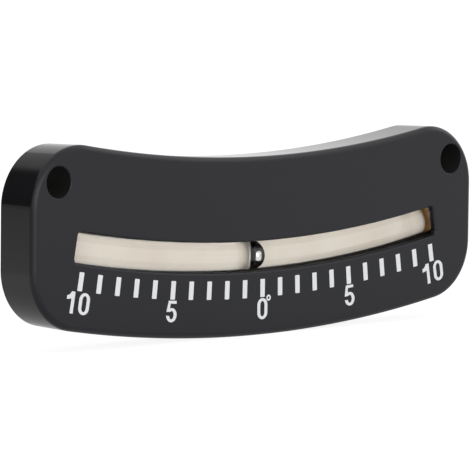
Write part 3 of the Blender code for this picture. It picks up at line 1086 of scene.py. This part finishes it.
def makePlugs(resin):
    # turned about Z with the tube's end at zero, then laid along the arc
    p = plugSet
    bore, outer = tubeSet["bore"] / 2 - p["fit"], tubeSet["outer"] / 2 - p["fit"]
    face = p["setBack"] - tubeSet["hidden"]
    top, rim = p["gap"] + p["head"], p["headRound"]
    hollow = arcPoints(Vector((0, face)), bore, p["meniscus"], math.pi / 2, 0, p["meniscusSteps"])
    rounded = arcPoints(Vector((outer - rim, top - rim)), rim, rim, 0, math.pi / 2, p["headSteps"])
    points = hollow + [Vector((bore, 0)), Vector((outer, p["clear"]))] + rounded + [Vector((0, top))]
    for side, label in ((-1, "left"), (1, "right")):
        shape = bmesh.new()
        spin(shape, [(point.x, 0, point.y) for point in points], (0, 0, 0), (0, 0, 1), p["sides"])
        angle = side * tubeAngle
        outward = side * Vector((math.cos(angle), 0, math.sin(angle)))
        front = Vector((0, -1, 0))
        turn = Matrix((front, outward.cross(front), outward)).transposed()
        end = onArc(tubeSet["radius"], angle)
        shape.transform(Matrix.Translation((end.x, tubeY, end.y)) @ turn.to_4x4())
        plug = toObject(f"endPlug_{label}", shape)
        smooth(plug, p["sharpAngle"])
        dress(plug, resin)
        hand(plug, "housing", "amber_resin", f"end_plug_{label}")


tubeGlass = makeGlass("tubeGlass", glassSet, glassSet["ior"])
makeTube(tubeGlass, makeGlass("boreWall", glassSet, glassSet["liquidIor"]))
makeBall(makeSteel(steelSet))
makeBacking(makeCream(creamSet))
makePlugs(makeMottled("amberResin", resinSet))
print("tube, ball, backing and plugs made")


# Cover screws
def makeScrewTree():
    g = Grove(
        "screwsOnPoints",
        {"Geometry": "Geometry", "Screw": "Object", "Turn Seed": "Int", "Material": "Material"},
    )
    turn = g.add(
        "FunctionNodeRandomValue",
        {"data_type": "FLOAT"},
        {"Min_001": 0.0, "Max_001": math.pi, "Seed": g.given("Turn Seed")},
        out="Value_001",
    )
    rotation = g.add("FunctionNodeEulerToRotation", sockets={"Euler": g.vector(0, turn, 0)})
    screw = g.add("GeometryNodeObjectInfo", sockets={"Object": g.given("Screw")}, out="Geometry")
    copies = g.add(
        "GeometryNodeInstanceOnPoints",
        sockets={"Points": g.given("Geometry"), "Instance": screw, "Rotation": rotation},
    )
    g.close(copies, g.given("Material"))
    return g


def makeScrewBlank():
    s = screwSet
    head, shank, tip = s["head"] / 2, s["shank"] / 2, -s["length"]
    profile = [(head * share, -depth) for share, depth in s["crown"]]
    profile += [(head - s["rim"], -s["rimDepth"]), (head, -s["rim"])]
    profile += [(shank, -s["headHeight"]), (shank, tip + s["point"]), (0, tip)]
    blank = turned("screwBlank", profile, s["sides"])
    arm, half = s["crossReach"] / 2, s["crossWidth"] / 2
    quarter = [Vector((half, arm)), Vector((half, half)), Vector((arm, half))]
    turns = [Matrix.Rotation(-q * math.pi / 2, 2) for q in range(4)]
    mouth = [turn @ p for turn in turns for p in quarter]
    floor = [p * s["crossTaper"] for p in mouth]
    subtract(blank, loft("crossCut", [(floor, -s["crossDepth"]), (mouth, s["crossRise"])]))
    soften(blank, s["sharpAngle"])
    return blank


def makeScrews(zinc):
    blank = makeScrewBlank()
    mesh = bpy.data.meshes.new("coverScrews")
    mesh.from_pydata([(x, 0, z) for x, z in screwPlaces()], [], [])
    screws = bpy.data.objects.new("coverScrews", mesh)
    scene.collection.objects.link(screws)
    makeScrewTree().grow(screws, {"Screw": blank, "Turn Seed": screwSet["turnSeed"], "Material": zinc})
    bpy.data.objects.remove(blank, do_unlink=True)
    hand(screws, "housing", "zinc_screw", *screwNames)


makeScrews(makeMottled("zincScrew", zincSet))
print("cover screws driven")


# Floor, cards and light
stageSet = {
    "floorHeight": -0.016,
    "floorSize": 6,
    "floorPreview": (0.9, 0.9, 0.9),
    "floorColour": (0.2, 0.2, 0.2, 1),
    "floorGlow": 0.9,
    # shares of the floor that a reflection shows, lower as painted shade near the object and to its left,
    # and where they change
    "nearShadeShown": (0.72, 1),
    "nearShadeReach": (0.004, 0.05),  # distance from the object
    "leftShadeShown": (0.43, 0.87),
    "leftShadeReach": (-0.24, -0.02),  # X
    "worldLight": 0.74,
    "worldShown": 1.0,
}
white = (1, 1, 1, 1)
cardColour = (0.02, 0.02, 0.022, 1)
# cards that only the glossy parts mirror: a dark one beyond the left end, a thin grey one behind
cardSet = {
    "darkCard": {
        "foot": (-0.2703, 0.2169, -0.016),
        "facing": (-0.698, 0.716, 0),
        "size": (0.5, 0.355),
        "paleFoot": 0.0233,  # up to this height it is as pale as the floor before it
        "footGlow": 0.39,
        "footBlur": 0.002,
        "thinness": 0,
        "fade": (0.265, 0.355),  # heights between which it thins out
    },
    "greyCard": {
        "foot": (-0.22, 1.0, 0.3),
        "facing": (0, 1, 0),
        "size": (1.17, 1.0),
        "paleFoot": -1,  # none
        "footGlow": 0,
        "footBlur": 0.002,
        "thinness": 0.55,
        "fade": (0.9, 1.0),
    },
}
lampSet = {
    "key": {"place": (-0.42, -0.9, 0.22), "width": 1.1, "height": 0.55, "power": 4.9},
    "fill": {"place": (0.95, -0.2, 0.5), "width": 0.6, "height": 0.6, "power": 1.2},
}


def shownMask(b, mirrored=1.0):
    # camera, glossy and transmission rays see the pale surroundings as they are
    path = b.add("ShaderNodeLightPath", out="Is Camera Ray")
    node = path.socket.node
    glossy = Wire(b, node.outputs["Is Glossy Ray"]) * mirrored
    through = Wire(b, node.outputs["Is Transmission Ray"])
    return b.maths("MAXIMUM", b.maths("MAXIMUM", path, glossy), through)


def makeFloor(opts):
    shape = bmesh.new()
    bmesh.ops.create_grid(shape, x_segments=1, y_segments=1, size=opts["floorSize"] / 2)
    floor = toObject("studioFloor", shape)
    floor.data.transform(Matrix.Translation((0, 0, opts["floorHeight"])))
    b = newMaterial("studioFloor", opts["floorPreview"])
    matt = b.add("ShaderNodeBsdfDiffuse", sockets={"Color": opts["floorColour"]})
    # painted shade: in a reflection the floor is darker under the object, for its shadow, and to its left,
    # for the dark card's shadow
    x, y = b.split(b.place, "X"), b.split(b.place, "Y")
    beyond = b.maths("MAXIMUM", b.maths("ABSOLUTE", x) - bodySet["halfLength"], 0)
    away = b.maths("SQRT", beyond * beyond + y * y)
    nearShade = b.range(away, *opts["nearShadeShown"], *opts["nearShadeReach"])
    # painted shade: the floor's reflection darkens towards the left, where the dark card stands
    left = b.range(x, *opts["leftShadeShown"], *opts["leftShadeReach"], smooth=True)
    strength = shownMask(b, nearShade * left) * opts["floorGlow"]
    glow = b.add("ShaderNodeEmission", sockets={"Color": white, "Strength": strength})
    dress(floor, b.finish(b.add("ShaderNodeAddShader", sockets={0: matt, 1: glow})))


def makeCard(name, opts):
    width, tall = opts["size"]
    shape = bmesh.new()
    corners = [(-width / 2, 0, 0), (width / 2, 0, 0), (width / 2, 0, tall), (-width / 2, 0, tall)]
    shape.faces.new([shape.verts.new(corner) for corner in corners])
    card = toObject(name, shape)
    turn = Vector(opts["facing"]).to_track_quat("-Y", "Z").to_matrix().to_4x4()
    card.data.transform(Matrix.Translation(opts["foot"]) @ turn)
    b = newMaterial(name, cardColour[:3])
    black = b.add("ShaderNodeBsdfDiffuse", sockets={"Color": cardColour})
    pale = b.add("ShaderNodeEmission", sockets={"Color": white, "Strength": opts["footGlow"]})
    clear = b.add("ShaderNodeBsdfTransparent", sockets={"Color": white})
    height = b.split(b.place, "Z") - opts["foot"][2]
    foot, blur = opts["paleFoot"], opts["footBlur"]
    below = b.range(height, 1, 0, foot - blur, foot + blur)
    thinned = b.range(height, opts["thinness"], 1, *opts["fade"], smooth=True)
    dress(card, b.finish(b.mix(thinned, b.mix(below, black, pale), clear)))
    card.visible_camera = False
    card.visible_diffuse = False
    card.visible_transmission = False
    card.visible_shadow = False


def makeWorld(opts):
    world = bpy.data.worlds.new("studio")
    scene.world = world
    b = Bench(world)
    mask = shownMask(b)
    strength = mask * (opts["worldShown"] - opts["worldLight"]) + opts["worldLight"]
    sky = b.add("ShaderNodeBackground", sockets={"Color": white, "Strength": strength})
    b.finish(sky, "ShaderNodeOutputWorld")


def makeLamp(name, opts):
    data = bpy.data.lights.new(name, "AREA")
    data.shape = "RECTANGLE"
    data.size = opts["width"]
    data.size_y = opts["height"]
    data.energy = opts["power"]
    lamp = bpy.data.objects.new(name, data)
    lamp.location = opts["place"]
    lamp.rotation_euler = (-Vector(opts["place"])).to_track_quat("-Z", "Y").to_euler()
    scene.collection.objects.link(lamp)


makeFloor(stageSet)
for cardName, cardOpts in cardSet.items():
    makeCard(cardName, cardOpts)
makeWorld(stageSet)
for lampName, lampOpts in lampSet.items():
    makeLamp(lampName + "Lamp", lampOpts)
print("stage lit")
